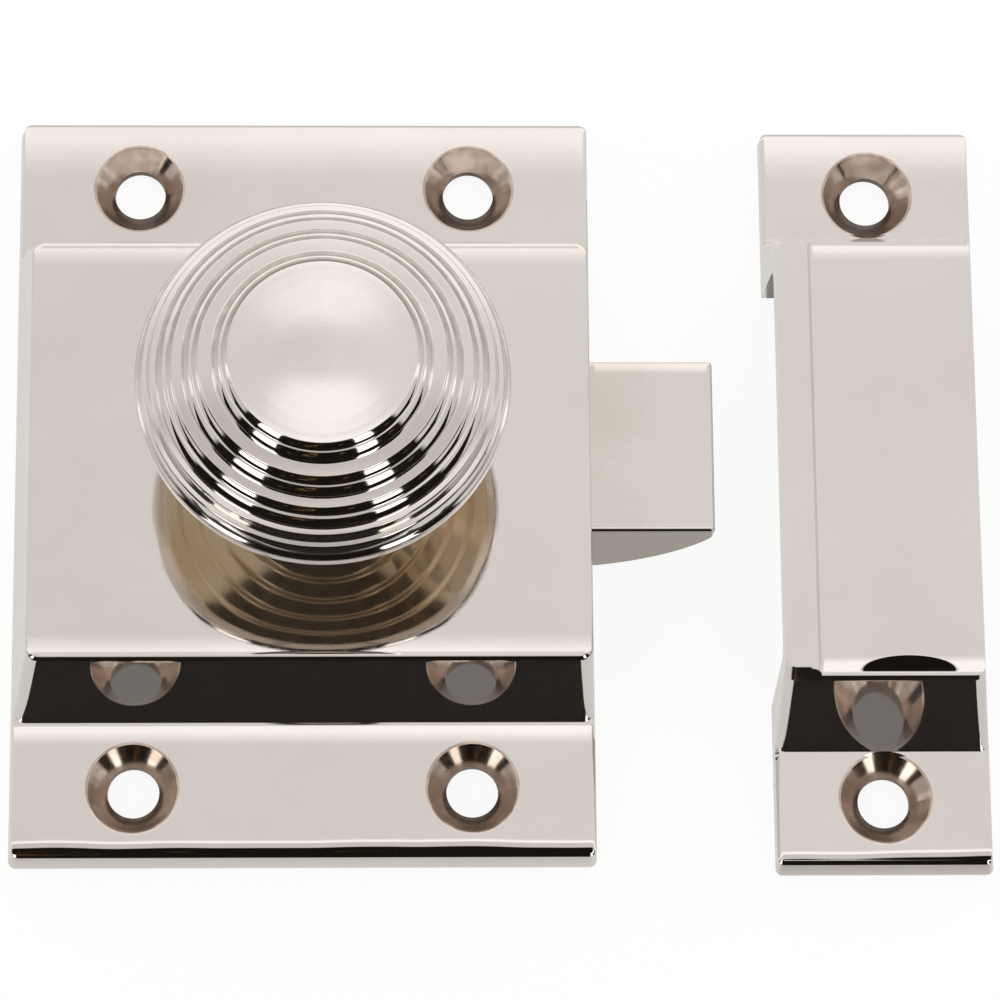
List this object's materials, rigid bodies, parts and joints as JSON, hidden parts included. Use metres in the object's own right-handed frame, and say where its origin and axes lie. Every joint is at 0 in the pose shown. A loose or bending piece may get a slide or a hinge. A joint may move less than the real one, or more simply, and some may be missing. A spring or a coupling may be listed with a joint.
{
  "type": "cupboard catch latch",
  "caption": "Surface-mounted cupboard catch: stepped round knob on a raised case, a sprung bevelled bolt, and a bridge keeper with a lip.",
  "frame": {"origin": "centre of the case's four screw holes, on the plane of its back", "axes": "+Z out of the door along the knob's axis, +Y up the door, +X from the case to the keeper"},
  "size_m": [0.0851, 0.0685, 0.0402],
  "materials": {
    "case_plate": "polished nickel plate on a casting",
    "knob_plate": "polished nickel plate, the top disc brushed",
    "bolt_plate": "polished nickel plate",
    "keeper_plate": "polished nickel plate on a casting",
    "bright_steel": "bright turned steel",
    "zinc_steel": "zinc plated sheet",
    "spring_steel": "oiled spring wire",
    "washer_brass": "bare brass"
  },
  "bodies": {
    "case": {"latch_case": "case_plate", "back_plate": "zinc_steel", "back_plate_screws": "bright_steel", "keeper": "keeper_plate"},
    "bolt": {"latch_bolt": "bolt_plate", "spring_pin": "bright_steel", "bolt_spring": "spring_steel"},
    "knob_set": {"knob": "knob_plate", "spindle": "bright_steel", "thrust_washer": "washer_brass", "cam": "bright_steel", "cam_screw": "bright_steel"}
  },
  "joints": [
    {"name": "knob_turn", "type": "hinge", "parent": "case", "child": "knob_set", "pos_m": [0.0019, 0, 0], "axis": [0, 0, 1], "range_deg": [0, 75]},
    {"name": "bolt_slide", "type": "slide", "parent": "case", "child": "bolt", "axis": [1, 0, 0], "range_m": [-0.008, 0], "stiffness_N_per_m": 4, "springref_m": 0.003, "deforming": ["bolt_spring"]}
  ],
  "couplings": [
    {"joint": "knob_turn", "follows": "bolt_slide", "rad_per_m": -163.62}
  ]
}
